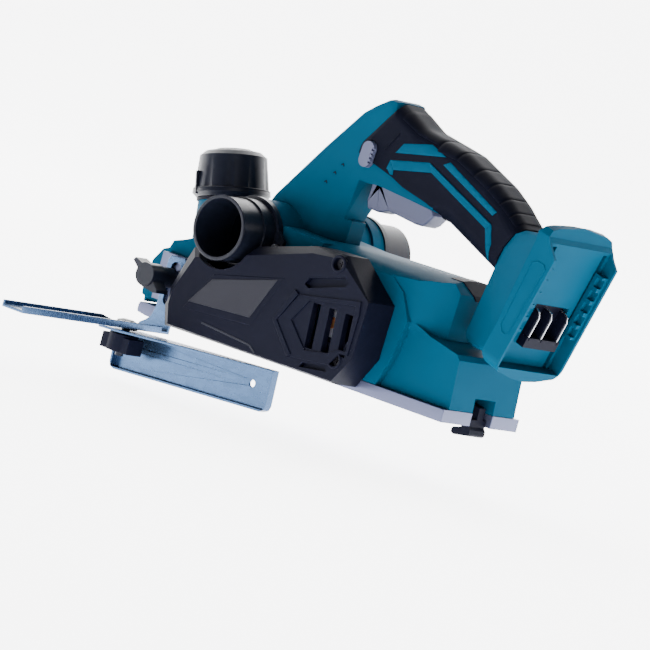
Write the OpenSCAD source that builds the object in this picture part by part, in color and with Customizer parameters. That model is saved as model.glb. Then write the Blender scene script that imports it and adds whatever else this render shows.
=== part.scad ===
// Cordless hand planer with an edge fence, built as separate named pieces.
// Millimetres. +X forward along the sole, +Y to the tool's left, +Z up.
// Origin: on the sole plane, at the middle of the rear base.

/* [Sole] */
// Width of the sole plates
base_w = 86; // [80:1:96]
// Thickness of the rear base
base_t = 9; // [6:0.5:12]
// Half length of the rear base behind the origin
rear_len = 90; // [80:1:110]
// Front end of the front shoe
nose_x = 196; // [180:1:210]

/* [Cutter] */
// Drum axis, forward of the origin
drum_x = 100; // [90:1:110]
// Cutting circle radius, equal to the axis height
cut_r = 24; // [20:0.5:28]
// Drum body radius
drum_r = 22; // [18:0.5:24]
// Drum length
drum_len = 80; // [70:1:82]
// Drum pulley radius
drum_pulley_r = 15; // [12:0.5:15.5]
// Motor pulley radius
motor_pulley_r = 10; // [8:0.5:14]

/* [Motor] */
// Motor axis, forward of the origin
motor_x = 5; // [0:1:12]
// Motor axis height
motor_z = 42; // [38:1:48]
// Motor can radius
motor_r = 26; // [22:0.5:28]

/* [Depth knob] */
// Lean of the knob axis towards the front, degrees
knob_tilt = 15.5; // [0:0.5:20]
// Knob radius at its rim
knob_r = 28; // [24:0.5:32]
// Knob height along its axis
knob_h = 36; // [28:1:44]
// Number of scallops round the knob
knob_flutes = 10; // [6:1:16]

/* [Chip outlet] */
// Outside radius of the chute
chute_r = 22.5; // [18:0.5:26]
// Wall of the chute
chute_wall = 2; // [1.5:0.25:3]
// Distance of the chute's mouth from the centre plane
chute_y = 80; // [70:1:95]

/* [Handle] */
// Width of the grip
grip_w = 37; // [30:1:42]
// Thickness of the rubber on the grip
rubber_t = 1.6; // [1:0.1:2.5]
// Trigger width
trigger_w = 18; // [14:1:22]

/* [Battery foot] */
// Outer width of the foot
foot_w = 73; // [68:0.2:78]
// Length of the rim that the battery slides along
foot_len = 86.3; // [80:0.1:92]
// Lean of the foot, degrees
foot_tilt = 16.2; // [10:0.1:25]

/* [Fence] */
// Far end of the fence arm
arm_end = 198; // [160:1:220]
// Width of the fence arm
arm_w = 20; // [16:1:26]
// Distance of the fence plate from the centre plane
fence_y = 60; // [58:1:66]
// Length of the fence plate
fence_len = 147; // [120:1:160]
// Tilt of the fence plate, degrees
fence_tilt = 3; // [0:0.5:4]

/* [Hidden] */
$fn = 64;
hb = base_w / 2;
kd = [sin(knob_tilt), 0, cos(knob_tilt)];
knob_foot = [151.1, 0, 10];
duct = [112, 80];
wing = [168.5, 32];
bolt_y = 78;
foot_hinge = [-40, 14];
arm_x = 171;
arm_z = -7;
fence_x = 18 - fence_len;
screw_pos = [[5.7, 82.5], [-12.2, 19.5]];
shell_screws = [[45, 182], [80, 122], [-72, 128], [-50, 75], [40, 76], [-78, 24]];

// ---------- helpers ----------
// A flat outline in X and Z, drawn out between two Y planes.
module slab_y(pts, y0, y1) {
  translate([0, y1, 0]) rotate([90, 0, 0]) linear_extrude(height = y1 - y0) polygon(pts);
}
// A cylinder along Y.
module rod_y(x, z, r, y0, y1) {
  translate([x, y1, z]) rotate([90, 0, 0]) cylinder(r = r, h = y1 - y0);
}
// A cone along Y: r0 at y0 and r1 at y1.
module cone_y(x, z, r0, r1, y0, y1) {
  translate([x, y0, z]) rotate([-90, 0, 0]) cylinder(r1 = r0, r2 = r1, h = y1 - y0);
}
module box(x0, x1, y0, y1, z0, z1) {
  translate([x0, y0, z0]) cube([x1 - x0, y1 - y0, z1 - z0]);
}
// Local frame on the knob axis, with its Z along the axis.
module on_knob(s = 0) {
  translate(knob_foot + s * kd) rotate([0, knob_tilt, 0]) children();
}
// Local frame of the battery foot: X inward from the rim plane, Z along its length.
module on_foot() {
  translate([-116.8, 0, 44.5]) rotate([0, -foot_tilt, 0]) children();
}
// Local frame of the fence plate at the clamp bolt.
module on_fence() {
  translate([arm_x, bolt_y, arm_z - 2.2]) rotate([0, fence_tilt, 0]) children();
}
// A Phillips-headed screw along +Y, its head's top at y.
module screw_y(x, z, y, len, head_r = 3.6, shank_r = 2) {
  difference() {
    union() {
      rod_y(x, z, head_r, y - 2.4, y);
      rod_y(x, z, shank_r, y - len, y - 2.2);
    }
    box(x - 2.1, x + 2.1, y - 1.4, y + 1, z - 0.45, z + 0.45);
    box(x - 0.45, x + 0.45, y - 1.4, y + 1, z - 2.1, z + 2.1);
  }
}

// ---------- sole and frame ----------
module rear_base() color("silver") difference() {
  slab_y([[-rear_len, 0], [93, 0], [84, base_t], [-rear_len, base_t]], -hb, hb);
  rod_y(drum_x, cut_r, cut_r + 1.3, -hb - 1, hb + 1);
  box(-rear_len - 1, -32, -12.5, 10.5, -1, base_t + 1);
  for (p = base_bolts()) translate([p[0], p[1], -1]) cylinder(r = 2.1, h = base_t + 2);
  for (p = base_bolts()) translate([p[0], p[1], -1]) cylinder(r = 4.6, h = 5);
}
function base_bolts() = [[-70, -30], [-70, 30], [20, -30], [20, 30]];

module base_screws() color("gray") for (p = base_bolts()) translate([p[0], p[1], 1]) difference() {
  union() {
    cylinder(r = 4.2, h = 2.8);
    cylinder(r = 2, h = 18);
  }
  translate([0, 0, -1]) cylinder(r = 2, h = 2.4, $fn = 6);
}

module front_shoe() color("silver") difference() {
  slab_y([[107, 0], [187, 0], [nose_x - 0.6, 1.2], [nose_x, 3], [nose_x, 6.4], [nose_x - 1.1, 8.8],
          [117, 8.8], [114, 6]], -hb, hb);
  rod_y(drum_x, cut_r, cut_r + 3.6, -hb - 1, hb + 1);
  slab_v(140, 200);
}
// The post that the knob's screw draws up and down.
module shoe_post() color("silver") difference() {
  on_knob(-4) cylinder(r = 10, h = 29);
  box(130, 170, -20, 20, -5, 8.8);
  on_knob(3) cylinder(r = 4.05, h = 40);
}
// The chamfering groove under the shoe.
module slab_v(x0, x1) {
  translate([x0, 0, 0]) rotate([90, 0, 90]) linear_extrude(height = x1 - x0)
    polygon([[-4.5, -1], [-3.5, 0], [0, 3.5], [3.5, 0], [4.5, -1]]);
}

module main_frame() color("silver") difference() {
  union() {
    // right side plate, with the stub that carries the right drum bearing
    slab_y([[58, 9.2], [78, 9.2], [84, 14], [126, 14], [126, 60], [58, 60]], -42.9, -40.4);
    rod_y(drum_x, cut_r, 6.9, -41, -31);
    // left side plate and bearing boss
    slab_y([[58, 9.2], [78, 9.2], [84, 14], [126, 14], [126, 60], [58, 60]], 40.6, 42.9);
    rod_y(drum_x, cut_r, 17.5, 40.6, 49.5);
    // cross walls that join the plates
    box(58, 63, -41, 41, 9.2, 60);
    box(125, 129.5, -41, 42.9, 14, 60);
    // arms and sleeve that guide the front shoe
    box(126, 186, 36, 42.9, 14, 48);
    box(126, 176, -35, 37, 36, 44);
    on_knob(18) cylinder(r = 15, h = 24);
    // motor cradle
    rod_y(motor_x, motor_z, motor_r + 4, -34.5, -31);
    rod_y(motor_x, motor_z, motor_r + 4, 33, 42.9);
    box(motor_x - 12, 60, 33, 42.9, 12, 24);
    box(motor_x - 12, 60, -34.5, -31, 12, 24);
  }
  rod_y(drum_x, cut_r, 13, 40, 50);
  rod_y(drum_x, cut_r, 9, 39, 51);
  rod_y(wing[0], wing[1], 4, 35, 44);
  on_knob(0) cylinder(r = 10.06, h = 31.5);
  on_knob(20) cylinder(r = 5, h = 40);
  rod_y(motor_x, motor_z, motor_r + 0.2, -35, 38);
  rod_y(motor_x, motor_z, 11, 30, 50);
  rod_y(duct[0], duct[1], chute_r + 4.2, 39, 50);
  for (p = base_bolts()) translate([p[0], p[1], 9]) cylinder(r = 2.1, h = 20);
  // chip passage from the drum up to the duct
  box(68, 118, -39, 39, 50, 61);
}

module front_cover() color("teal") difference() {
  union() {
    slab_y([[130, 11.3], [197, 11.3], [197, 9], [198.4, 9], [198.7, 12.5], [201.8, 13.6], [202.2, 17.1],
            [201.4, 29], [199.8, 39.1], [193, 48.8], [187.8, 50.8], [185.6, 56.6], [175.7, 59.8],
            [168.3, 62.9], [134, 63]], -41.5, 35.6);
    on_knob(48) cylinder(r1 = 27, r2 = 23.5, h = 36.5);
  }
  box(120, 187, -38.5, 33, 10, 57.5);
  on_knob(20) cylinder(r = 5.2, h = 80);
  on_knob(40) cylinder(r = 20, h = 40);
  box(100, 136, -50, 50, 5, 61);
  // where the frame's cross arm passes
  box(120, 178, 30, 37, 35.5, 44.5);
}

module scale_ring() color("black") on_knob(84.6) difference() {
  cylinder(r = 24.6, h = 2);
  translate([0, 0, -1]) cylinder(r = 5.2, h = 4);
}

module depth_knob() color([0.1, 0.1, 0.12]) on_knob(87) difference() {
  union() {
    cylinder(r1 = knob_r - 3, r2 = knob_r, h = 3);
    translate([0, 0, 3]) cylinder(r1 = knob_r, r2 = knob_r - 0.6, h = 3);
    translate([0, 0, 6]) cylinder(r1 = knob_r - 1.4, r2 = knob_r - 4, h = knob_h - 12);
    translate([0, 0, knob_h - 6]) cylinder(r1 = knob_r - 4, r2 = knob_r - 8, h = 3.4);
    translate([0, 0, knob_h - 2.6]) cylinder(r1 = knob_r - 8, r2 = knob_r - 17, h = 1.9);
  }
  for (i = [0 : knob_flutes - 1]) rotate([0, 0, (i + 0.5) * 360 / knob_flutes])
    translate([knob_r + 7.2, 0, 6.5]) rotate([0, -4, 0]) cylinder(r = 9.5, h = knob_h, $fn = 40);
  translate([0, 0, -1]) cylinder(r = 4.02, h = 15);
  translate([0, 0, -1]) cylinder(r = 22.5, h = 5);
  translate([0, 0, knob_h - 3.6]) cylinder(r = 9.02, h = 5);
}

module knob_cap() color([0.12, 0.12, 0.14]) on_knob(87 + knob_h - 3.6) union() {
  cylinder(r = 9, h = 2.4);
  translate([0, 0, 2.4]) cylinder(r1 = 9, r2 = 5, h = 0.9);
}

module knob_screw() color("gray") on_knob(7) union() {
  cylinder(r = 4, h = 92);
  translate([0, 0, 53]) cylinder(r = 4.9, h = 4);
}

// ---------- housing shells ----------
leg = [[100, 88], [53, 139], [36, 160], [36, 185], [38.5, 196.2], [43.6, 197], [48.2, 195.6],
       [57.6, 189.6], [66.1, 183], [91.2, 152.4], [123.9, 109.5], [127.2, 103], [130, 88]];
well = [[57, 108], [57, 121], [52.5, 137], [50.5, 147], [36, 149], [-16, 143], [-18, 126], [-14, 108]];
// A convex outline drawn out to half width w, with its edges rounded by r.
module soft_slab(pts, w, r) hull() for (k = [0, 0.29, 1])
  translate([0, w - (1 - k) * r * (k > 0 ? 0.41 : 1), 0]) rotate([90, 0, 0])
    linear_extrude(height = 2 * w - 2 * (1 - k) * r * (k > 0 ? 0.41 : 1)) offset(delta = -k * r) polygon(pts);

// Grip stations: centre x, centre z, lean of the section, half depth.
grip_st = [[58, 156, 0, 12], [36.7, 166, 0, 30], [14, 157.5, 3, 26], [-9.6, 154.5, 4, 24.7],
           [-22.8, 153.7, 10, 22.9], [-35.8, 148.2, 20, 22.4], [-51.4, 141.6, 23, 22.5],
           [-65.4, 134.2, 25.4, 21.3], [-85.3, 122.5, 21.5, 18.4]];
module grip_solid(half_w, grow) {
  grip_part(0, 2, half_w, grow);
  grip_part(2, 5, half_w, grow);
  grip_part(5, 8, half_w, grow);
}
module grip_part(i0, i1, half_w, grow) hull() for (i = [i0 : i1]) let (s = grip_st[i])
  translate([s[0], 0, s[1]]) rotate([0, -s[2], 0]) for (sy = [-1, 1], sz = [-1, 1])
    translate([0, sy * (half_w - 11), sz * (s[3] + grow - 11)]) rotate([0, 90, 0])
      cylinder(r = 11, h = 0.8, $fn = 24);

module foot_solid() {
  // slab that surrounds the battery slide
  on_foot() intersection() {
    slab_y([[0, -6], [0, foot_len], [7, foot_len + 5], [13, foot_len + 11], [15, foot_len + 20.2],
            [19, foot_len + 19], [21, foot_len + 14.7], [22.7, foot_len + 9.7], [21.2, 89.8],
            [18.3, 43.6], [17, 30], [17, 6], [12.9, -2], [4.7, -5.4]], -foot_w / 2, foot_w / 2);
    translate([-1, 0, 0]) rotate([90, 0, 90]) linear_extrude(height = 30)
      polygon(concat(foot_side(1), [for (i = [12 : -1 : 0]) foot_side(-1)[i]]));
  }
  // wedge between the grip and the slab
  hull() {
    slab_y([[-71, 61], [-77, 82], [-80, 92], [-80.6, 114], [-82.9, 123.3], [-89, 134.5], [-97, 139],
            [-118, 112], [-97, 52], [-80, 53], [-73, 56]], -17, 17);
    on_foot() box(13, 16, -33, 33, 6, 97);
  }
}
// Half of the slab's outline in Y and Z: crowned bottom, round corner and arched hood.
function foot_side(s) = concat([[0, -5.4], [s * 14, -4.2]],
  [for (a = [0 : 15 : 90]) [s * (foot_w / 2 - 9.5 + 9.5 * sin(a)), 8.2 - 9.5 * cos(a)]],
  [[s * foot_w / 2, foot_len + 10.7], [s * (foot_w / 2 - 2.5), foot_len + 15], [s * 28, foot_len + 17],
   [0, foot_len + 20.2]]);

// Long prism with a crowned top, that trims the body's upper edges.
module crown() translate([-70, 0, 0]) rotate([90, 0, 90]) linear_extrude(height = 140)
  polygon([[-45, 5], [45, 5], [45, 81], [42, 84.4], [36, 87.6], [24, 91], [10, 93.2], [0, 93.8],
           [-10, 93.2], [-24, 91], [-36, 87.6], [-42, 84.4], [-45, 81]]);
// Upper body, narrowing to the rear.
module upper_body() intersection() {
  slab_y([[-61, 52], [-62, 84], [-56, 93.6], [60, 90.8], [60, 50]], -42, 42);
  linear_extrude(height = 120)
    polygon([[60, 42], [-22, 42], [-38, 39.5], [-50, 33], [-62, 22], [-62, -22], [-50, -33],
             [-38, -39.5], [-22, -42], [60, -42]]);
  crown();
}

module shell_solid() {
  // lower rear body
  slab_y([[-rear_len + 0.5, 9.2], [-87, 43], [-84, 46.5], [-58, 52], [-38, 59], [57.5, 59], [57.5, 9.2]],
         -37, 37);
  // side walls level with the belt cover
  intersection() {
    slab_y([[-27, 9.2], [-34, 26], [-40, 57], [-30, 75], [-8, 90.5], [30, 91], [57.5, 88], [57.5, 9.2]],
           -42.8, 42.8);
    crown();
  }
  upper_body();
  // saddle over the drum and the cross duct
  slab_y([[50, 61], [50, 89.5], [128, 94], [137.5, 80], [133, 64], [129, 61]], -38, 40.5);
  rod_y(duct[0], duct[1], 25.2, -75, 40.5);
  rod_y(duct[0], duct[1], 27, -66, -60);
  // front leg of the handle, with a narrow nose down its rear edge
  soft_slab(leg, 17, 4);
  slab_y([[76, 84], [74, 108], [53, 139], [75, 139], [110, 88]], -17, 17);
  hull() {
    slab_y([[76, 84], [74, 108], [90, 108], [90, 84]], -17, 17);
    slab_y([[58, 84], [57, 107], [80, 107], [80, 84]], -8, 8);
  }
  hull() {
    slab_y([[74, 108], [53, 139], [75, 139], [90, 108]], -17, 17);
    slab_y([[62, 107], [52, 137], [60, 139], [70, 107]], -11, 11);
  }
  // cheeks that guard the trigger
  slab_y([[62, 150], [58, 137], [46, 136.2], [35.9, 136.9], [14, 134.8], [-15.3, 132.3], [-15.3, 140],
          [0, 150]], -17, 17);
  grip_solid(grip_w / 2 - rubber_t, -rubber_t);
  foot_solid();
}

module shell_voids() {
  // motor bay and the frame's cradle
  rod_y(motor_x, motor_z, motor_r + 4.4, -34.8, 43);
  box(motor_x - 12.4, 70, 32.6, 43, 11.6, 24.4);
  box(motor_x - 12.4, 70, -34.8, -30.6, 11.6, 24.4);
  rod_y(motor_x, motor_z, motor_r + 0.6, -39.5, -30);
  // bay for the controller behind the motor
  box(-56, -28, -29, 29, 34.5, 50);
  // base screws
  for (p = base_bolts()) translate([p[0], p[1], 5]) cylinder(r = 2.02, h = 16);
  // parking foot well, open at the bottom and the rear
  box(-86.4, -32, -12.5, 10.5, 5, 33);
  box(-95, -80, -12.5, 10.5, 5, 19);
  rod_y(foot_hinge[0], foot_hinge[1], 2.02, -16, 14);
  // cross duct and the chip passage into it
  rod_y(duct[0], duct[1], chute_r - chute_wall + 0.6, -76, 41);
  box(68, 118, -34, 34, 55, 82);
  // clearance round the frame
  box(57.6, 140, -43, 43, 5, 60.4);
  // trigger well, switch and wiring
  slab_y(well, -9.6, 9.6);
  box(-20, 34, -10.4, 10.4, 143, 166);
  // lock button slot
  lock_shape(0.15, -30, 30);
  // battery slide
  on_foot() {
    difference() {
      union() {
        box(-2, 10, 2.5 - foot_w / 2, foot_w / 2 - 2.5, 3, 98);
        for (y = [-29, 29]) box(9, 14, y - 2, y + 2, 3, 92);
      }
      // guide rails on both side walls, with a row of pockets
      for (side = [0, 1]) mirror([0, side, 0]) difference() {
        box(2, 9.5, 28, 36, 30, 79);
        for (i = [0 : 4]) box(1, 6.5, 26, 31.8, 32 + 9.6 * i, 38.5 + 9.6 * i);
      }
    }
    // seat of the terminal block
    box(8, 16.4, -21.6, 15.6, 18.4, 49);
  }
  // rear insert seat
  insert_shape();
  // screw holes from the right
  for (p = shell_screws) rod_y(p[0], p[1], 2.02, -60, 9);
  for (p = shell_screws) rod_y(p[0], p[1], 4, -60, shell_y(p) + 2.6);
}
// Depth at which each shell screw's head lies, by place.
function shell_y(p) = p[1] > 100 ? -13.5 : (p[1] > 60 ? -27 : -33);

module shell(side) difference() {
  intersection() {
    shell_solid();
    box(-200, 250, side > 0 ? 0 : -120, side > 0 ? 120 : 0, 0, 260);
  }
  shell_voids();
}
module housing_left() color("teal") shell(1);
module housing_right() color("teal") shell(-1);

module shell_screws() color("gray") for (p = shell_screws) mirror([0, 1, 0])
  screw_y(p[0], p[1], -shell_y(p) + 0.2, 18);

module grip_skin(side) difference() {
  intersection() {
    grip_solid(grip_w / 2, 0);
    box(-200, 100, side > 0 ? 0 : -60, side > 0 ? 60 : 0, 90, 220);
    // the rubber runs from behind the lock button to the neck
    slab_y([[58.9, 154.6], [60.1, 161.4], [45.8, 179.7], [39, 188], [36, 193], [36, 205], [-60, 200],
            [-98.9, 140.6], [-89.1, 134.5], [-82.9, 123.3], [-80.6, 114], [-81, 108.5], [-84, 98],
            [-68, 96], [-25, 100], [-22.1, 130.5], [-8.1, 135.8], [14.1, 141], [24.7, 145.3]], -40, 40);
  }
  grip_solid(grip_w / 2 - rubber_t, -rubber_t);
  slab_y(well, -9.6, 9.6);
  slab_y(leg, -17.02, 17.02);
  slab_y([[62, 150], [58, 137], [-15.3, 132.3], [-15.3, 140], [0, 150]], -17.02, 17.02);
  foot_solid();
  lock_shape(0.6, -30, 30);
  for (p = shell_screws) rod_y(p[0], p[1], 4.6, -60, -9);
}
module grip_left() color([0.1, 0.1, 0.12]) grip_skin(1);
module grip_right() color([0.1, 0.1, 0.12]) grip_skin(-1);

// V-shaped insert in the body's upper rear corner, standing slightly proud.
module insert_shape() intersection() {
  translate([-0.5, 0, 0.4]) upper_body();
  slab_y([[-44, 96], [-54, 78], [-64, 78], [-64, 96]], -30, 30);
  translate([-70, 0, 0]) rotate([90, 0, 90]) linear_extrude(height = 40)
    polygon([[-20, 95], [20, 95], [4, 81], [-4, 81]]);
}
module rear_insert() color([0.1, 0.1, 0.12]) insert_shape();

// ---------- belt drive ----------
cover_out = [[-12, 3], [-25.5, 26], [-26.5, 64], [6, 89], [34, 88.5], [56, 82], [82, 69], [128, 61.5],
             [139.6, 60.2], [142.5, 53], [148.1, 34], [151.8, 27.3], [152.5, 16], [148, 1.8]];
cover_face = [[-14, 5], [-26.5, 24], [-28, 64], [5, 86], [30, 83.5], [87, 64], [128, 55], [130.5, 54.5],
              [138.5, 34.5], [142.6, 27.6], [143, 17.5], [139, 4.2]];
cover_in = [[-9, 6], [-22.5, 27], [-23.5, 63], [6, 85.5], [33, 85], [54, 79], [80, 66], [126, 54],
            [142, 20], [139, 6]];
module belt_cover() color([0.12, 0.12, 0.14]) difference() {
  union() {
    slab_y(cover_out, 43.1, 66);
    hull() {
      slab_y(cover_out, 64, 66);
      slab_y(cover_face, 73, 74);
    }
  }
  slab_y(cover_in, 42, 68.5);
  rod_y(duct[0], duct[1], chute_r + 6, 42, 90);
  // room for the wing bolt to turn, and a round notch below it
  rod_y(wing[0], wing[1], 18, 42, 90);
  rod_y(153.8, 22.3, 6, 42, 90);
  for (p = screw_pos) rod_y(p[0], p[1], 2.02, 40, 80);
  for (p = screw_pos) rod_y(p[0], p[1], 4.4, 68, 80);
  // cooling slots through the face, leaning with the hexagon
  for (i = [0 : 2]) slab_y([[11 - 14.6 * i, 52], [17.8 - 14.6 * i, 52], [15.8 - 14.6 * i, 21 + i],
                            [9 - 14.6 * i, 21 + i]], 60, 80);
  slab_y([[30, 62], [27, 67], [-3, 75], [-7, 72], [-5, 69], [26, 60]], 70.5, 80);
  slab_y([[16, 7], [-8, 10], [-6, 13.5], [14, 10.5]], 70.5, 80);
}
module cover_screws() color("gray") for (p = screw_pos) screw_y(p[0], p[1], 70.4, 26, 4.2, 2);

module drive_belt() color([0.08, 0.08, 0.08]) translate([0, 64.5, 0]) rotate([90, 0, 0])
  linear_extrude(height = 12) difference() {
    belt_loop(2.6);
    belt_loop(0.1);
  }
module belt_loop(t) hull() {
  translate([drum_x, cut_r]) circle(r = drum_pulley_r + t, $fn = 96);
  translate([motor_x, motor_z]) circle(r = motor_pulley_r + t, $fn = 96);
}
module drum_pulley() color("gray") difference() {
  union() {
    rod_y(drum_x, cut_r, drum_pulley_r, 52, 65);
    rod_y(drum_x, cut_r, 9, 50, 52.5);
  }
  rod_y(drum_x, cut_r, 6, 49, 66);
  for (a = [0 : 72 : 359])
    rod_y(drum_x + 10.5 * cos(a), cut_r + 10.5 * sin(a), 2.2, 51, 66);
}
module motor_pulley() color("gray") difference() {
  rod_y(motor_x, motor_z, motor_pulley_r, 52, 65);
  rod_y(motor_x, motor_z, 4, 51, 66);
}

// ---------- cutter ----------
module cutter_drum() color([0.6, 0.6, 0.62]) difference() {
  union() {
    rod_y(drum_x, cut_r, drum_r, -drum_len / 2, drum_len / 2);
    rod_y(drum_x, cut_r, 6, 0, 66);
    rod_y(drum_x, cut_r, 4, 60, 67);
  }
  rod_y(drum_x, cut_r, 13.05, -drum_len / 2 - 1, -29);
  for (a = [0, 180]) translate([drum_x, 0, cut_r]) rotate([0, a, 0]) {
    box(2, 14, -drum_len / 2 - 1, drum_len / 2 + 1, -26, -14);
  }
}
module blades() color("white") for (a = [0, 180]) translate([drum_x, 0, cut_r]) rotate([0, a, 0])
  slab_y([[2.05, -23.9], [3.3, -21], [3.3, -14.5], [2.05, -14.5]], -drum_len / 2, drum_len / 2);
module blade_clamps() color([0.4, 0.4, 0.42]) for (a = [0, 180])
  translate([drum_x, 0, cut_r]) rotate([0, a, 0]) difference() {
    slab_y([[3.35, -20.8], [5, -21.6], [13.9, -17.2], [13.9, -14.05], [3.35, -14.05]],
           -drum_len / 2, drum_len / 2);
    for (y = [-30, 0, 30]) translate([9, y, -30]) cylinder(r = 3.05, h = 20);
  }
module blade_bolts() color("gray") for (a = [0, 180], y = [-30, 0, 30])
  translate([drum_x, 0, cut_r]) rotate([0, a, 0]) translate([9, y, -18.4]) difference() {
    cylinder(r = 3, h = 4.3);
    translate([0, 0, -1]) cylinder(r = 1.5, h = 3, $fn = 24);
  }
module drum_bearings() color("gray") {
  difference() {
    rod_y(drum_x, cut_r, 13, 41.2, 49.4);
    rod_y(drum_x, cut_r, 6.05, 40, 50);
  }
  difference() {
    rod_y(drum_x, cut_r, 12.99, -39.8, -31.8);
    rod_y(drum_x, cut_r, 6.9, -41, -30);
  }
}

// ---------- motor ----------
module stator() color([0.35, 0.35, 0.38]) difference() {
  rod_y(motor_x, motor_z, motor_r, -30.5, 33);
  rod_y(motor_x, motor_z, motor_r - 6, -31, 30);
  rod_y(motor_x, motor_z, 8.02, 20, 34);
}
module rotor() color([0.5, 0.5, 0.52]) union() {
  rod_y(motor_x, motor_z, 3.96, -34, 66);
  rod_y(motor_x, motor_z, motor_r - 7, -20, 22);
}
module fan() color([0.15, 0.15, 0.17]) difference() {
  rod_y(motor_x, motor_z, motor_r - 7.5, 22.5, 28.5);
  rod_y(motor_x, motor_z, 3.96, 20, 30);
  for (i = [0 : 8]) translate([motor_x, 0, motor_z]) rotate([0, i * 40, 0]) translate([8, 0, 0])
    box(0, 9, 24, 29, -1.8, 1.8);
}
module motor_bearings() color("gray") {
  difference() {
    rod_y(motor_x, motor_z, 8, 30.5, 37);
    rod_y(motor_x, motor_z, 4.02, 30, 38);
  }
  difference() {
    rod_y(motor_x, motor_z, motor_r - 0.5, -34.4, -30.7);
    rod_y(motor_x, motor_z, 4.02, -35, -30);
  }
}

// ---------- chip outlet ----------
module chip_chute() color([0.1, 0.1, 0.12]) difference() {
  union() {
    rod_y(duct[0], duct[1], chute_r, 50, chute_y);
    rod_y(duct[0], duct[1], chute_r + 1.2, 44, 58);
    rod_y(duct[0], duct[1], chute_r + 3.6, 40.8, 46);
    slab_y([[92, 62], [80, 72], [80, 82], [90, 90], [100, 80]], 43.4, 46.5);
  }
  rod_y(duct[0], duct[1], chute_r - chute_wall, 40, chute_y + 1);
  rod_y(85.3, 76, 2.02, 40, 50);
}
module chute_screw() color("silver") screw_y(85.3, 76, 48.9, 5.2, 2.5, 2);
module duct_cap() color([0.1, 0.1, 0.12]) union() {
  rod_y(duct[0], duct[1], 26.2, -79, -75);
  rod_y(duct[0], duct[1], 22.3, -109, -79);
  cone_y(duct[0], duct[1], 20.3, 22.3, -112, -109);
}

// ---------- trigger, switch and lock ----------
module trigger() color([0.72, 0.73, 0.8]) difference() {
  slab_y([[48, 136], [48.4, 124.3], [46.5, 119], [37.1, 118.5], [28, 121.6], [3, 118.6],
          [-2.6, 118.6], [-6.4, 121], [-11.4, 128], [-9.1, 131.6], [10, 136], [38, 145], [46, 144.5]],
         -trigger_w / 2, trigger_w / 2);
  rod_y(43, 140, 2.05, -20, 20);
}
module trigger_pin() color("silver") rod_y(43, 140, 2, -9.5, 9.5);
module switch_body() color([0.15, 0.15, 0.17]) union() {
  box(-18, 32, -10, 10, 147, 165.5);
  box(4, 12, -4, 4, 143.5, 148);
}
// The button's outline, nearly upright, with round ends.
module lock_shape(gap, y0, y1) translate([50, 0, 155.5]) rotate([0, -4.5, 0]) {
  box(-5.2 - gap, 5.2 + gap, y0, y1, -4, 4);
  rod_y(0, -4, 5.2 + gap, y0, y1);
  rod_y(0, 4, 5.2 + gap, y0, y1);
}
module lock_button() color([0.72, 0.73, 0.8]) difference() {
  lock_shape(0, -20.5, 21.5);
  // grooves between the finger ribs on both ends
  translate([50, 0, 155.5]) rotate([0, -4.5, 0]) for (i = [0 : 3], y = [-21, 19.5])
    box(-5.8, -3.4, y, y + 2.5, -5.4 + 3 * i, -3.9 + 3 * i);
}

// ---------- battery contacts and electronics ----------
module terminal_block() color([0.08, 0.08, 0.1]) on_foot() difference() {
  union() {
    box(13.6, 16.4, -21.5, 15.5, 18.5, 48.9);
    box(3.3, 14, -21.5, 15.5, 18.5, 26);
    // cheeks that leave only the front edge of each blade bare
    for (y = [-19, -0.8, 13]) slab_y([[14, 24], [4.9, 24], [4.9, 41], [6.6, 43.8], [8.8, 45], [14, 45]],
                                     y - 1.5, y + 1.5);
  }
  for (y = [-19, -0.8, 13]) box(3, 17, y - 0.45, y + 0.45, 24, 46);
}
module terminals() color("silver") on_foot() for (y = [-19, -0.8, 13])
  translate([0, y + 0.4, 0]) rotate([90, 0, 0]) linear_extrude(height = 0.8)
    polygon([[15.8, 24.2], [4, 24.2], [4, 41], [6, 44.5], [8.5, 45.8], [15.8, 45.8]]);
module controller() color([0.1, 0.3, 0.15]) box(-54, -30, -27, 27, 35, 47);

// ---------- parking foot ----------
module parking_foot() color([0.1, 0.1, 0.12]) difference() {
  union() {
    rod_y(foot_hinge[0], foot_hinge[1], 6, -8.5, 4);
    slab_y([[-40, 19.6], [-74, 15], [-85.6, 12.5], [-85.8, -1.5], [-79, -3], [-73, 3], [-40, 8.4]],
           -8.5, -1.5);
    slab_y([[-85.8, 4], [-85.8, -1], [-87.4, -3], [-87.6, -6.2], [-86, -7.6], [-74.5, -9.3], [-72, -8.4],
            [-71.6, -5.6], [-73, -4.2], [-79, -2.8], [-81, 4]], -12, 5.5);
  }
  rod_y(foot_hinge[0], foot_hinge[1], 2.05, -20, 20);
}
module foot_pin() color("silver") rod_y(foot_hinge[0], foot_hinge[1], 2, -15.5, 13.5);

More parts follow.
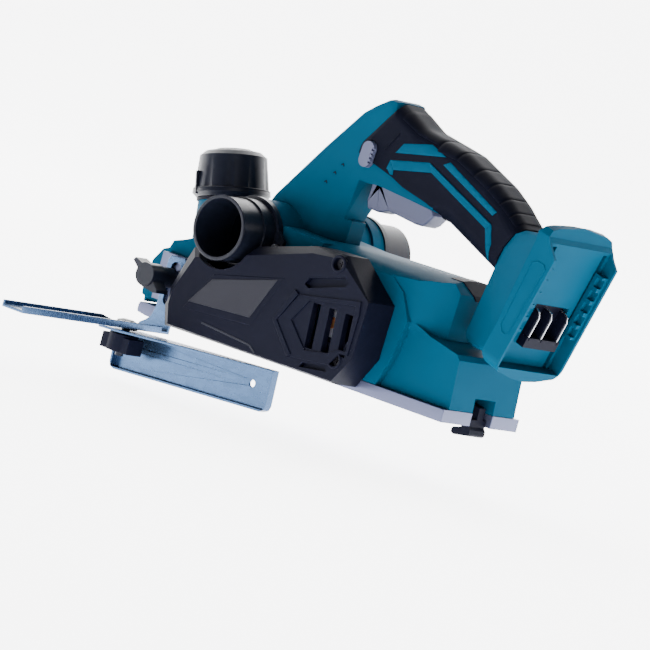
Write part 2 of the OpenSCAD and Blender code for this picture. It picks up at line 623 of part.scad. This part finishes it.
// ---------- fence ----------
module wing_bolt() color([0.08, 0.08, 0.1]) union() {
  rod_y(wing[0], wing[1], 3.95, 37, 60);
  rod_y(wing[0], wing[1], 7.2, 49.2, 66);
  rod_y(wing[0], wing[1], 8.3, 63.5, 77);
  translate([wing[0], 0, wing[1]])
    slab_y([[14.5, 7], [9, 2.6], [8.2, 0.5], [8.2, -3], [5.5, -7], [0, -9], [-10.8, -10.6], [-13.8, -10.2],
            [-13.2, -8], [-8.6, -3.8], [-6.6, 2.7], [-2, 6.7], [5, 6.6], [13, 9.2]], 63.5, 75.6);
}
module wing_washer() color("silver") difference() {
  rod_y(wing[0], wing[1], 6.4, 46.2, 49);
  rod_y(wing[0], wing[1], 4.05, 40, 50);
}
module fence_arm() color([0.62, 0.68, 0.74]) difference() {
  union() {
    // upright tab against the frame, with a round front fillet
    slab_y([[arm_x - 10, arm_z], [arm_x + 18, arm_z], [arm_x + 18, arm_z + 2], [arm_x + 12.8, -1.8],
            [arm_x + 8.6, 2], [arm_x + 6.4, 9.7], [arm_x + 6.5, 44], [arm_x + 4.6, 47.2],
            [arm_x - 8.4, 47.8], [arm_x - 10, 46]], 43.2, 45.8);
    // flat arm with raised edges
    box(arm_x - arm_w / 2, arm_x + arm_w / 2, 43.2, arm_end, arm_z, arm_z + 2);
    box(arm_x - arm_w / 2, arm_x + 1.6 - arm_w / 2, 52, arm_end, arm_z, arm_z + 5);
    translate([arm_x - 1.6 + arm_w / 2, 0, 0]) rotate([90, 0, 90]) linear_extrude(height = 1.6)
      polygon([[43.2, arm_z], [arm_end, arm_z], [arm_end, arm_z + 5], [96, arm_z + 5], [84, arm_z + 2],
               [43.2, arm_z + 2]]);
  }
  box(wing[0] - 4.3, wing[0] + 4.3, 40, 50, 17, 39.5);
  rod_y(wing[0], 39.5, 4.3, 40, 50);
  rod_y(wing[0], 17, 4.3, 40, 50);
  box(arm_x - 3.1, arm_x + 3.1, 58, arm_end - 10, arm_z - 1, arm_z + 3);
}
module carriage_bolt() color([0.08, 0.08, 0.1]) translate([arm_x, bolt_y, 0]) union() {
  translate([0, 0, arm_z + 2.1]) cylinder(r = 7.6, h = 1.6);
  translate([0, 0, arm_z + 3.7]) cylinder(r1 = 7.6, r2 = 4, h = 1.4);
  translate([0, 0, arm_z - 21]) cylinder(r = 2.95, h = 24);
}
module fence_washer() color([0.1, 0.1, 0.1]) translate([arm_x, bolt_y, arm_z - 1.3]) difference() {
  cylinder(r = 8, h = 1.2);
  translate([0, 0, -1]) cylinder(r = 3.05, h = 4);
}
module fence_plate() color([0.6, 0.66, 0.74]) on_fence() difference() {
  union() {
    // upright plate with stiffening rims and rounded lower corners
    intersection() {
      union() {
        box(fence_x, 18, fence_y - bolt_y, fence_y - bolt_y + 1.8, -30, 0);
        box(fence_x, fence_x + 1.8, fence_y - bolt_y, fence_y - bolt_y + 7, -29, 0);
        box(16.2, 18, fence_y - bolt_y, fence_y - bolt_y + 7, -29, 0);
        box(fence_x + 1, 17, fence_y - bolt_y, fence_y - bolt_y + 7, -30, -28.2);
      }
      slab_y([[fence_x, 1], [fence_x, -25], [fence_x + 1.4, -28.4], [fence_x + 5, -30],
              [13, -30], [16.6, -28.4], [18, -25], [18, 1]], -40, 40);
    }
    // top flange, widest at the clamp
    translate([0, 0, -1.8]) linear_extrude(height = 1.8)
      polygon([[fence_x, fence_y - bolt_y], [18, fence_y - bolt_y], [18, 9], [12, 15], [-8, 16], [-40, 4],
               [fence_x, fence_y - bolt_y + 7]]);
  }
  translate([0, 0, -10]) cylinder(r = 3.2, h = 20);
  for (x = [fence_x + 20, 8]) translate([x, -30, -13]) rotate([-90, 0, 0]) cylinder(r = 2.6, h = 40);
}
module clamp_knob() color([0.08, 0.08, 0.1]) translate([arm_x, bolt_y, arm_z - 18]) difference() {
  union() {
    translate([-13, -8, 0]) cube([26, 16, 11]);
    cylinder(r = 10.5, h = 12.6);
  }
  translate([0, 0, -1]) cylinder(r = 3, h = 20);
}

main_frame();
rear_base();
base_screws();
front_shoe();
shoe_post();
front_cover();
scale_ring();
depth_knob();
knob_screw();
knob_cap();
housing_left();
housing_right();
shell_screws();
grip_left();
grip_right();
rear_insert();
belt_cover();
cover_screws();
drive_belt();
drum_pulley();
motor_pulley();
cutter_drum();
blades();
blade_clamps();
blade_bolts();
drum_bearings();
stator();
rotor();
fan();
motor_bearings();
chip_chute();
chute_screw();
duct_cap();
trigger();
trigger_pin();
switch_body();
lock_button();
terminal_block();
terminals();
controller();
parking_foot();
foot_pin();
wing_bolt();
wing_washer();
fence_arm();
fence_plate();
carriage_bolt();
fence_washer();
clamp_knob();
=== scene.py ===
"""Looks, light and camera for the cordless hand planer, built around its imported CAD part."""
from math import cos, pi, radians, sin

import bmesh
import bpy
from mathutils import Matrix, Vector
from mathutils.bvhtree import BVHTree


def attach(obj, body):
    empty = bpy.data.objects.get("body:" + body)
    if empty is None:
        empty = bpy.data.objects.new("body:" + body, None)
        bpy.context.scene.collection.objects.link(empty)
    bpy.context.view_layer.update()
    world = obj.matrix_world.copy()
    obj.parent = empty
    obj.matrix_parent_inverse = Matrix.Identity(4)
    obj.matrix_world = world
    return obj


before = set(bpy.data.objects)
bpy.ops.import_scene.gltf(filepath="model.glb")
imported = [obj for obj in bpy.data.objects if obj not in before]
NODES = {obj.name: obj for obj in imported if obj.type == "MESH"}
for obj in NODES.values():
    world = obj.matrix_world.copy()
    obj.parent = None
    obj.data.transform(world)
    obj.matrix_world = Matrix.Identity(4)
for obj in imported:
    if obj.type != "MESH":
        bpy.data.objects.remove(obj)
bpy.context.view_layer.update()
MM = 0.001

# ---------- materials ----------
DRIFT_SCALE = 22.0      # noise scale of the slow colour drift
GRAIN_DEPTH = 0.0002    # metres from the low to the high points of the grain
MIN_ROUGH = 0.03


def material(name, base, rough, metal=0.0, vary=0.06, grain=900.0, bump=0.12,
             stretch=(1, 1, 1), spec=0.5, rough_vary=0.08, glow=0.0):
    """A procedural finish: slow colour drift, a fine grain in the bump, and uneven roughness."""
    m = bpy.data.materials.new(name)
    m.use_nodes = True
    nt = m.node_tree
    nt.nodes.clear()
    out = nt.nodes.new("ShaderNodeOutputMaterial")
    p = nt.nodes.new("ShaderNodeBsdfPrincipled")
    nt.links.new(p.outputs[0], out.inputs[0])
    co = nt.nodes.new("ShaderNodeTexCoord")
    mp = nt.nodes.new("ShaderNodeMapping")
    mp.inputs["Scale"].default_value = stretch
    nt.links.new(co.outputs["Object"], mp.inputs[0])
    slow = nt.nodes.new("ShaderNodeTexNoise")
    slow.inputs["Scale"].default_value = DRIFT_SCALE
    slow.inputs["Detail"].default_value = 4.0
    quick = nt.nodes.new("ShaderNodeTexNoise")
    quick.inputs["Scale"].default_value = grain
    quick.inputs["Detail"].default_value = 3.0
    nt.links.new(mp.outputs[0], slow.inputs["Vector"])
    nt.links.new(mp.outputs[0], quick.inputs["Vector"])
    ramp = nt.nodes.new("ShaderNodeValToRGB")
    ramp.color_ramp.elements[0].position = 0.3
    ramp.color_ramp.elements[1].position = 0.7
    ramp.color_ramp.elements[0].color = [max(0, c * (1 - vary)) for c in base] + [1]
    ramp.color_ramp.elements[1].color = [min(1, c * (1 + vary)) for c in base] + [1]
    nt.links.new(slow.outputs[0], ramp.inputs[0])
    nt.links.new(ramp.outputs[0], p.inputs["Base Color"])
    rr = nt.nodes.new("ShaderNodeMapRange")
    rr.inputs["To Min"].default_value = max(MIN_ROUGH, rough - rough_vary)
    rr.inputs["To Max"].default_value = min(1, rough + rough_vary)
    nt.links.new(quick.outputs[0], rr.inputs["Value"])
    nt.links.new(rr.outputs[0], p.inputs["Roughness"])
    bp = nt.nodes.new("ShaderNodeBump")
    bp.inputs["Strength"].default_value = bump
    bp.inputs["Distance"].default_value = GRAIN_DEPTH
    nt.links.new(quick.outputs[0], bp.inputs["Height"])
    nt.links.new(bp.outputs[0], p.inputs["Normal"])
    p.inputs["Metallic"].default_value = metal
    p.inputs["Specular IOR Level"].default_value = spec
    if glow:
        nt.links.new(ramp.outputs[0], p.inputs["Emission Color"])
        p.inputs["Emission Strength"].default_value = glow
    return m


TEAL = material("teal", (0.0, 0.047, 0.090), 0.52, vary=0.04, grain=1400, bump=0.10, spec=0.02)
BLACK = material("black", (0.0024, 0.0030, 0.0088), 0.54, vary=0.10, grain=1300, bump=0.14,
                 spec=0.045)
GLOSS = material("gloss_black", (0.0045, 0.0058, 0.0120), 0.36, vary=0.10, grain=700, bump=0.06,
                 spec=0.15)
RUBBER = material("rubber", (0.0024, 0.0030, 0.0080), 0.62, vary=0.10, grain=1800, bump=0.25,
                  spec=0.035)
PLATE = material("name_plate", (0.0045, 0.0050, 0.0110), 0.42, vary=0.08, grain=500, bump=0.04,
                 spec=0.15)
ALU = material("alu", (0.080, 0.090, 0.155), 0.38, metal=0.65, vary=0.05, grain=600, bump=0.10,
               stretch=(0.3, 1, 3))
CAST = material("cast", (0.40, 0.41, 0.46), 0.50, metal=0.7, vary=0.08, grain=800, bump=0.3)
ZINC = material("zinc", (0.042, 0.080, 0.155), 0.27, metal=0.85, vary=0.16, grain=240, bump=0.05,
                stretch=(0.5, 3, 1), rough_vary=0.12)
STEEL = material("steel", (0.50, 0.51, 0.55), 0.30, metal=0.95, vary=0.06, grain=900, bump=0.06)
OXIDE = material("black_oxide", (0.018, 0.018, 0.024), 0.40, metal=0.6, vary=0.1, grain=900,
                 bump=0.06)
GREY = material("grey", (0.070, 0.078, 0.135), 0.46, vary=0.03, grain=1200, bump=0.08, spec=0.2)
COPPER = material("copper", (0.42, 0.18, 0.08), 0.40, metal=0.8, vary=0.12, grain=500, bump=0.2)
BOARD = material("board", (0.01, 0.09, 0.04), 0.40, vary=0.15, grain=300, bump=0.1)
# the backdrop glows, less in the apron in front of the object, so the picture's ground is white
FLOOR = material("floor", (0.95, 0.95, 0.955), 0.80, vary=0.004, grain=60, bump=0.01, spec=0.05,
                 glow=5.5)
APRON = material("apron", (0.95, 0.95, 0.955), 0.80, vary=0.004, grain=60, bump=0.01, spec=0.05,
                 glow=2.0)

FINISH = {
    TEAL: "housing_left housing_right front_cover",
    BLACK: "belt_cover rear_insert scale_ring parking_foot switch_body fan terminal_block "
           "clamp_knob",
    GLOSS: "depth_knob knob_cap chip_chute duct_cap wing_bolt carriage_bolt",
    RUBBER: "grip_left grip_right drive_belt fence_washer",
    ALU: "rear_base front_shoe shoe_post main_frame",
    CAST: "cutter_drum blade_clamps drum_pulley motor_pulley",
    ZINC: "fence_arm fence_plate wing_washer",
    STEEL: "base_screws knob_screw shell_screws blades blade_bolts drum_bearings "
           "motor_bearings chute_screw trigger_pin terminals foot_pin",
    OXIDE: "cover_screws stator",
    GREY: "trigger lock_button",
    COPPER: "rotor",
    BOARD: "controller",
}
# edge rounding in millimetres, for the nodes that have more or less of it than BEVEL_OTHERS
BEVEL = {
    "housing_left": 0.9, "housing_right": 0.9, "front_cover": 1.2, "belt_cover": 1.0,
    "rear_base": 0.5, "front_shoe": 0.8, "main_frame": 0.6, "trigger": 1.4, "lock_button": 1.2,
    "depth_knob": 0.7, "chip_chute": 0.35, "duct_cap": 1.2, "fence_plate": 0.5, "fence_arm": 0.4,
    "wing_bolt": 1.6, "parking_foot": 1.2, "clamp_knob": 1.0, "carriage_bolt": 0.5,
    "terminal_block": 0.2, "terminals": 0.15, "rear_insert": 0.6,
}
BEVEL_OTHERS = 0.25
BEVEL_ANGLE = radians(32)
WELD_GAP = 0.00002


def soften(obj, width):
    """Merges split vertices, rounds the sharp edges and smooths the shading between them."""
    w = obj.modifiers.new("weld", "WELD")
    w.merge_threshold = WELD_GAP
    if width:
        b = obj.modifiers.new("bevel", "BEVEL")
        b.width = width * MM
        b.segments = 2
        b.limit_method = "ANGLE"
        b.angle_limit = BEVEL_ANGLE
        b.harden_normals = False
        b.use_clamp_overlap = True
    for poly in obj.data.polygons:
        poly.use_smooth = True
    n = obj.modifiers.new("normals", "WEIGHTED_NORMAL")
    n.keep_sharp = True
    n.weight = 60


for mat, names in FINISH.items():
    for name in names.split():
        obj = NODES[name]
        obj.data.materials.clear()
        obj.data.materials.append(mat)
        soften(obj, BEVEL.get(name, BEVEL_OTHERS))


def piece(name, verts, faces, mat, body="tool", bevel=0.0):
    """A new solid from millimetre corners, which rides on a body."""
    mesh = bpy.data.meshes.new(name)
    mesh.from_pydata([Vector(v) * MM for v in verts], [], faces)
    bm = bmesh.new()
    bm.from_mesh(mesh)
    bmesh.ops.recalc_face_normals(bm, faces=bm.faces)
    bm.to_mesh(mesh)
    bm.free()
    obj = bpy.data.objects.new(name, mesh)
    bpy.context.scene.collection.objects.link(obj)
    mesh.materials.append(mat)
    soften(obj, bevel)
    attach(obj, body)
    return obj


def plate(name, pts, y0, y1, mat, bevel=0.3, taper=0.0):
    """A flat outline in X and Z between two Y planes; taper draws its outer face in."""
    n = len(pts)
    cx, cz = sum(p[0] for p in pts) / n, sum(p[1] for p in pts) / n

    def draw_in(p):
        d = Vector((cx - p[0], cz - p[1]))
        d = d.normalized() * taper if d.length else d
        return p[0] + d.x, p[1] + d.y

    verts = [(p[0], y0, p[1]) for p in pts] + [(draw_in(p)[0], y1, draw_in(p)[1]) for p in pts]
    faces = [list(range(n)), list(range(n, 2 * n))]
    faces += [[i, (i + 1) % n, n + (i + 1) % n, n + i] for i in range(n)]
    return piece(name, verts, faces, mat, bevel=bevel)


def ring(name, outer, inner, y0, y1, mat, bevel):
    """A raised frame between two outlines with the same number of corners."""
    n = len(outer)
    verts = [(p[0], y, p[1]) for y in (y0, y1) for loop in (outer, inner) for p in loop]
    faces = []
    for i in range(n):
        j = (i + 1) % n
        faces += [[i, j, n + j, n + i], [2 * n + i, 2 * n + j, 3 * n + j, 3 * n + i],
                  [i, j, 2 * n + j, 2 * n + i], [n + i, n + j, 3 * n + j, 3 * n + i]]
    return piece(name, verts, faces, mat, bevel=bevel)


def shrink(pts, d):
    """Moves the corners of a convex outline inward by d."""
    out, n = [], len(pts)
    area2 = sum(pts[i][0] * pts[(i + 1) % n][1] - pts[(i + 1) % n][0] * pts[i][1]
                for i in range(n))
    turn = 1 if area2 > 0 else -1
    for i in range(n):
        p, a, b = Vector(pts[i]), Vector(pts[i - 1]), Vector(pts[(i + 1) % n])
        u, v = (p - a).normalized(), (b - p).normalized()
        nu, nv = Vector((-u.y, u.x)) * turn, Vector((-v.y, v.x)) * turn
        m = (nu + nv).normalized()
        p = p + m * (d / max(0.3, m.dot(nu)))
        out.append((p.x, p.y))
    return out


def strip(name, path, width, y0, y1, mat, bevel):
    """A narrow band along a path in X and Z."""
    left, right = [], []
    for i, p in enumerate(path):
        a, b = Vector(path[max(0, i - 1)]), Vector(path[min(len(path) - 1, i + 1)])
        t = (b - a).normalized() * width / 2
        left.append((p[0] - t.y, p[1] + t.x))
        right.append((p[0] + t.y, p[1] - t.x))
    return plate(name, left + right[::-1], y0, y1, mat, bevel)


def turned(name, centre, profile, mat, arc=(0, 360), steps=48):
    """A closed profile of (radius, y) turned about an axis along Y, over a circle or an arc."""
    whole = arc[1] - arc[0] >= 360
    cols = steps if whole else steps + 1
    verts, faces, m = [], [], len(profile)
    for i in range(cols):
        a = radians(arc[0] + (arc[1] - arc[0]) * i / steps)
        verts += [(centre[0] + r * cos(a), y, centre[1] + r * sin(a)) for r, y in profile]
    for i in range(steps):
        j = (i + 1) % cols
        faces += [[i * m + k, i * m + (k + 1) % m, j * m + (k + 1) % m, j * m + k]
                  for k in range(m)]
    if not whole:
        faces += [list(range(m)), [steps * m + k for k in range(m)]]
    return piece(name, verts, faces, mat)


def surface(names):
    """A ray target made from CAD nodes, in millimetres."""
    verts, polys = [], []
    for name in names:
        obj, base = NODES[name], len(verts)
        verts += [obj.matrix_world @ v.co / MM for v in obj.data.vertices]
        polys += [[base + i for i in p.vertices] for p in obj.data.polygons]
    return BVHTree.FromPolygons(verts, polys)


INLAY_GRID = 3.0        # spacing of the cuts that let an inlay bend with the surface
INLAY_START = 90        # Y that its rays start from, well outside the grip
INLAY_MISSED = 12       # Y of a corner whose ray meets nothing


def inlay(name, pts, side, target, proud, deep, mat):
    """A sheet with an outline in X and Z that follows the surface under it, on one side."""
    bm = bmesh.new()
    bm.faces.new([bm.verts.new((p[0], 0, p[1])) for p in pts])
    for axis, k in ((Vector((1, 0, 0)), 0), (Vector((0, 0, 1)), 1)):
        lo, hi = min(p[k] for p in pts), max(p[k] for p in pts)
        t = lo + INLAY_GRID
        while t < hi:
            geom = bm.verts[:] + bm.edges[:] + bm.faces[:]
            bmesh.ops.bisect_plane(bm, geom=geom, plane_co=axis * t, plane_no=axis)
            t += INLAY_GRID
    bm.verts.ensure_lookup_table()
    bm.verts.index_update()
    top, low = [], []
    for v in bm.verts:
        start = Vector((v.co.x, side * INLAY_START, v.co.z))
        hit = target.ray_cast(start, Vector((0, -side, 0)))[0]
        y = hit.y if hit else side * INLAY_MISSED
        top.append((v.co.x, y + side * proud, v.co.z))
        low.append((v.co.x, y - side * deep, v.co.z))
    n = len(top)
    faces = [[v.index for v in f.verts] for f in bm.faces]
    faces += [[v.index + n for v in reversed(f.verts)] for f in bm.faces]
    for e in bm.edges:
        if len(e.link_faces) == 1:
            a, b = e.verts[0].index, e.verts[1].index
            faces.append([a, b, b + n, a + n])
    bm.free()
    return piece(name, top + low, faces, mat)


# X, height and lean in degrees of the grip's sections, as part.scad has them
SPINE = [(36.7, 166, 0), (14, 157.5, 3), (-9.6, 154.5, 4), (-22.8, 153.7, 10), (-35.8, 148.2, 20),
         (-51.4, 141.6, 23), (-65.4, 134.2, 25.4), (-85.3, 122.5, 21.5)]


def spine(x):
    """Centre height and lean of the grip's section at X."""
    for (xa, za, la), (xb, zb, lb) in zip(SPINE, SPINE[1:]):
        if x >= xb:
            t = (x - xa) / (xb - xa)
            return za + t * (zb - za), la + t * (lb - la)
    return SPINE[-1][1:]


PAD_ROWS = 26           # faces around a pad
PAD_START = 60          # distance from the spine that its rays start from
PAD_MISSED = 18         # distance of a corner whose ray meets nothing
PAD_PROUD = 0.5         # height over the rubber, and the same depth into it


def saddle_pad(name, x0, x1, a0, a1, target, cols):
    """A raised rubber pad that wraps over the top of the grip from angle a0 to a1."""
    top, low = [], []
    for i in range(cols + 1):
        x = x0 + (x1 - x0) * i / cols
        z, lean = spine(x)
        c, up = Vector((x, 0, z)), Vector((-sin(radians(lean)), 0, cos(radians(lean))))
        for j in range(PAD_ROWS + 1):
            a = radians(a0 + (a1 - a0) * j / PAD_ROWS)
            d = Vector((0, cos(a), 0)) + up * sin(a)
            hit = target.ray_cast(c + d * PAD_START, -d)[0] or c + d * PAD_MISSED
            top.append(tuple(hit + d * PAD_PROUD))
            low.append(tuple(hit - d * PAD_PROUD))
    m, n = PAD_ROWS + 1, len(top)
    faces = []
    for i in range(cols):
        for j in range(PAD_ROWS):
            q = [i * m + j, i * m + j + 1, (i + 1) * m + j + 1, (i + 1) * m + j]
            faces += [q, [k + n for k in reversed(q)]]
    rim = list(range(m)) + [i * m + PAD_ROWS for i in range(1, cols + 1)]
    rim += [cols * m + j for j in range(PAD_ROWS - 1, -1, -1)]
    rim += [i * m for i in range(cols - 1, 0, -1)]
    faces += [[rim[k], rim[(k + 1) % len(rim)], rim[(k + 1) % len(rim)] + n, rim[k] + n]
              for k in range(len(rim))]
    return piece(name, top + low, faces, RUBBER)


COVER_Y = 73.7          # the belt cover's outer face; raised details start just inside it


def build_belt_cover():
    """The raised panel, name plate, a raised dark strip of painted groove shade, and screw bosses
    on the belt cover.
    """
    panel = [(31, 54.1), (-22, 63.2), (-23.5, 54.1), (-22.8, 25), (-15.5, 24.6), (-8.3, 14.9),
             (25.5, 11.6), (44.3, 33.1)]
    vent = [(21.2, 52.5), (-18.6, 59), (-19.8, 50.2), (-20.2, 27.4), (-13.6, 27.2), (-5.6, 22.4),
            (14.4, 19.2), (32.4, 36)]
    ring("cover_panel", panel, vent, 73.6, 74.9, BLACK, bevel=0.4)
    strip("cover_chevron", [(33.7, 55.4), (46.4, 32.5), (26.1, 12)], 4.2, COVER_Y, 75.6, BLACK,
          bevel=0.5)
    plate("cover_plate_seat", [(130, 18.5), (110.5, 48), (47, 61.5), (66, 22)], 73.5, 74.3, BLACK,
          taper=1.2)
    plate("cover_plate", [(126, 24), (109.5, 44), (53.1, 58.6), (68.8, 27.5)], 74.0, 74.7, PLATE)
    # painted shade: the groove is not cut; a raised gloss-black strip stands in for the shade
    # inside it
    strip("painted_groove_shade", [(109.1, 13), (62.7, 9.5), (57.1, 5.6)], 1.4, COVER_Y, 74.3, GLOSS,
          bevel=0.1)
    boss = [(4.5, 73.4), (6.4, 73.4), (6.0, 74.6), (4.5, 74.6)]
    for k, (x, z) in enumerate([(5.7, 82.5), (-12.2, 19.5)]):
        turned("cover_boss_%d" % k, (x, z), boss, BLACK, steps=32)


def build_grip():
    """The teal bands in the rubber, a fine line in front of them, and the ribs over the top."""
    target = surface(["grip_left", "grip_right"])
    edge = [(-4.6, 162.6), (-68.2, 135.8), (-67.0, 134.7), (-5.4, 161.2)]
    line = [(28.8, 175.6), (37.7, 161.6), (37.1, 161.2), (28.2, 175.2)]
    bands = {
        "a": [(22.2, 169.9), (-0.9, 175.2), (-15.9, 169.8), (27.4, 162.2)],
        "b": [(-15.5, 164.2), (-20.9, 167.3), (-70.2, 144.9), (-67.5, 141.6)],
        "c0": [(33.0, 143.9), (30.0, 156.4), (25.3, 150.5), (24.6, 145.0)],
        "c1": [(30.0, 156.4), (-3.7, 162.8), (-7.2, 156.6), (25.3, 150.5)],
        "c2": [(-3.7, 162.8), (-68.6, 135.4), (-64.5, 131.8), (-7.2, 156.6)],
        "c3": [(-68.6, 135.4), (-72.7, 122.9), (-68.1, 121.7), (-64.5, 131.8)],
        "c4": [(-72.7, 122.9), (-71.9, 111.4), (-70.9, 112.7), (-68.1, 121.7)],
    }
    for side, tag in ((1, "left"), (-1, "right")):
        for k, pts in bands.items():
            inlay("grip_band_%s_%s" % (k, tag), pts, side, target, 0.35, 0.5, TEAL)
        inlay("grip_edge_" + tag, edge, side, target, 0.75, 0.3, TEAL)
        inlay("grip_line_" + tag, line, side, target, 0.4, 0.3, RUBBER)
    # ribs over the top of the grip, with grooves between them
    grooves = [-5.5, -22, -36.4, -50.2, -62.6, -73.5, -82]
    for k, (x0, x1) in enumerate(zip(grooves, grooves[1:])):
        saddle_pad("grip_rib_%d" % k, x0 - 0.5, x1 + 0.5, 43, 137, target, cols=6)
    saddle_pad("grip_crown", 30, -4.5, 52, 128, target, cols=10)


DUCT_AXIS = (112, 80)   # X and Z of the chip duct that crosses the body


def build_body():
    """The small leg vents, the ovals on the battery foot, and the inside of the chip duct."""
    vent = [(-1.6, -0.4), (-0.2, 1.6), (1.7, 0.3), (1.1, -0.5), (0, 0.4), (-0.8, -0.9)]
    for k, (x, z) in enumerate([(81.4, 127.9), (75.7, 135.8), (70.7, 142.8)]):
        for side in (1, -1):
            plate("leg_vent_%d_%d" % (k, side), [(x + dx, z + dz) for dx, dz in vent],
                  side * 16.6, side * 17.15, BLACK, bevel=0.05)
    oval = [(-122.6, 121.6), (-128.1, 123.8), (-133.6, 122.6), (-135.8, 119.4), (-119.9, 70.6),
            (-117.4, 69.4), (-114.2, 70.2), (-111.4, 75.4)]
    for side in (1, -1):
        ring("foot_oval_%d" % side, oval, shrink(oval, 0.9), side * 36.1, side * 36.9, TEAL,
             bevel=0.2)
    # dark lining of the cross duct, open above the drum
    lining = [(20.9, 40.3), (21.05, 40.3), (21.05, -74.5), (20.9, -74.5)]
    turned("duct_lining", DUCT_AXIS, lining, BLACK, arc=(-50, 190), steps=40)
    end = [(0.5, -74.6), (20.9, -74.6), (20.9, -74.0), (0.5, -74.0)]
    turned("duct_floor", DUCT_AXIS, end, BLACK)
    lip = [(20.55, 78.9), (22.9, 78.9), (22.9, 79.9), (20.55, 79.9)]
    turned("chute_lip", DUCT_AXIS, lip, GLOSS)


KNOB_LEAN = radians(15.5)
KNOB_FOOT = Vector((151.1, 0, 10))      # a point on the depth knob's axis
KNOB_STEPS = 60


def build_knob():
    """A ledge, a raised disc and a pointer rib on the depth knob, all about its leaning axis."""
    axis = Vector((sin(KNOB_LEAN), 0, cos(KNOB_LEAN)))
    side = Vector((0, 1, 0))
    fore = side.cross(axis)

    def at(a, r, s):
        return tuple(KNOB_FOOT + axis * s + (fore * cos(a) + side * sin(a)) * r)

    # corners as (radius, height along the axis)
    n = KNOB_STEPS
    for tag, rows in (("ledge", [(24.2, 92.6), (27.75, 92.6), (27.4, 93.5), (24.2, 93.5)]),
                      ("crown", [(9.4, 121.2), (12.5, 121.2), (12.3, 122.4), (9.4, 122.6)])):
        verts = [at(2 * pi * i / n, r, s) for i in range(n) for r, s in rows]
        faces = [[i * 4 + k, i * 4 + (k + 1) % 4,
                  (i + 1) % n * 4 + (k + 1) % 4, (i + 1) % n * 4 + k]
                 for i in range(n) for k in range(4)]
        piece("knob_" + tag, verts, faces, GLOSS, "knob")
    corners = [(23, -3), (28.3, -2.4), (28.3, 2.4), (23, 3)]
    verts = [at(radians(64 + turn), r, s) for s in (88.4, 105) for r, turn in corners]
    faces = [[0, 1, 2, 3], [4, 5, 6, 7], [0, 1, 5, 4], [1, 2, 6, 5], [2, 3, 7, 6], [3, 0, 4, 7]]
    piece("knob_pointer", verts, faces, GLOSS, "knob", 0.4)


build_belt_cover()
build_grip()
build_body()
build_knob()


# ---------- stage, light and camera ----------
def area(name, loc, target, size, power):
    """A rectangular lamp aimed at a point."""
    data = bpy.data.lights.new(name, "AREA")
    data.shape = "RECTANGLE"
    data.size, data.size_y = size
    data.energy = power
    lamp = bpy.data.objects.new(name, data)
    bpy.context.scene.collection.objects.link(lamp)
    lamp.location = loc
    lamp.rotation_euler = (Vector(target) - Vector(loc)).to_track_quat("-Z", "Y").to_euler()


FLOOR_Z = -0.046
FLOOR_REACH = 9         # half width, and how far it comes towards the camera, in metres
CURVE = 1.2             # radius of the curve from floor to wall
CURVE_START = 1.6       # distance behind the object that it starts at
WALL_TOP = 6


def build_stage():
    """A pale floor that curves up into a wall behind the object, the lamps and the world."""
    away = Vector((0.6209, -0.7786, 0)).normalized()
    across = Vector((0.7786, 0.6209, 0)).normalized()
    profile = [(-FLOOR_REACH, 0), (-1.4, 0), (CURVE_START, 0)]
    profile += [(CURVE_START + CURVE * sin(a), CURVE - CURVE * cos(a))
                for a in [radians(9 * k) for k in range(1, 11)]]
    profile += [(2.8, WALL_TOP)]
    verts, faces = [], []
    for d, h in profile:
        for w in (-FLOOR_REACH, FLOOR_REACH):
            p = away * d + across * w
            verts.append((p.x, p.y, FLOOR_Z + h))
    for i in range(len(profile) - 1):
        faces.append((2 * i, 2 * i + 1, 2 * i + 3, 2 * i + 2))
    mesh = bpy.data.meshes.new("floor")
    mesh.from_pydata(verts, [], faces)
    for poly in mesh.polygons:
        poly.use_smooth = True
    floor = bpy.data.objects.new("floor", mesh)
    bpy.context.scene.collection.objects.link(floor)
    mesh.materials.append(FLOOR)
    mesh.materials.append(APRON)
    mesh.polygons[0].material_index = 1
    area("key", (-1.0, 1.6, 1.9), (0, 0.05, 0.05), (1.2, 1.2), 12)
    area("fill", (-2.2, -0.6, 1.0), (0, 0, 0.06), (1.4, 1.4), 1.5)
    area("front", (1.4, 1.8, 0.9), (0.05, 0.05, 0.05), (1.2, 1.0), 2)
    area("top", (0.2, 0.0, 2.4), (0, 0, 0), (1.8, 1.8), 11)
    world = bpy.data.worlds.new("studio")
    bpy.context.scene.world = world
    world.use_nodes = True
    bg = world.node_tree.nodes["Background"]
    bg.inputs[0].default_value = (1.0, 1.0, 1.0, 1)
    bg.inputs[1].default_value = 0.06


def build_camera():
    """A long lens 3.5 m off, rolled 15 degrees: the view solved from the photograph."""
    cam = bpy.data.objects.new("camera", bpy.data.cameras.new("camera"))
    bpy.context.scene.collection.objects.link(cam)
    right = Vector((-0.739379, -0.620174, 0.262112))
    up = Vector((0.260401, 0.095604, 0.960756))
    back = Vector((-0.620894, 0.778617, 0.090806))
    cam.matrix_world = Matrix((
        (right.x, up.x, back.x, -2.188558),
        (right.y, up.y, back.y, 2.822649),
        (right.z, up.z, back.z, 0.360495),
        (0, 0, 0, 1)))
    cam.data.sensor_width = 36
    cam.data.lens = 288.055
    cam.data.clip_end = 60
    bpy.context.scene.camera = cam


build_stage()
build_camera()
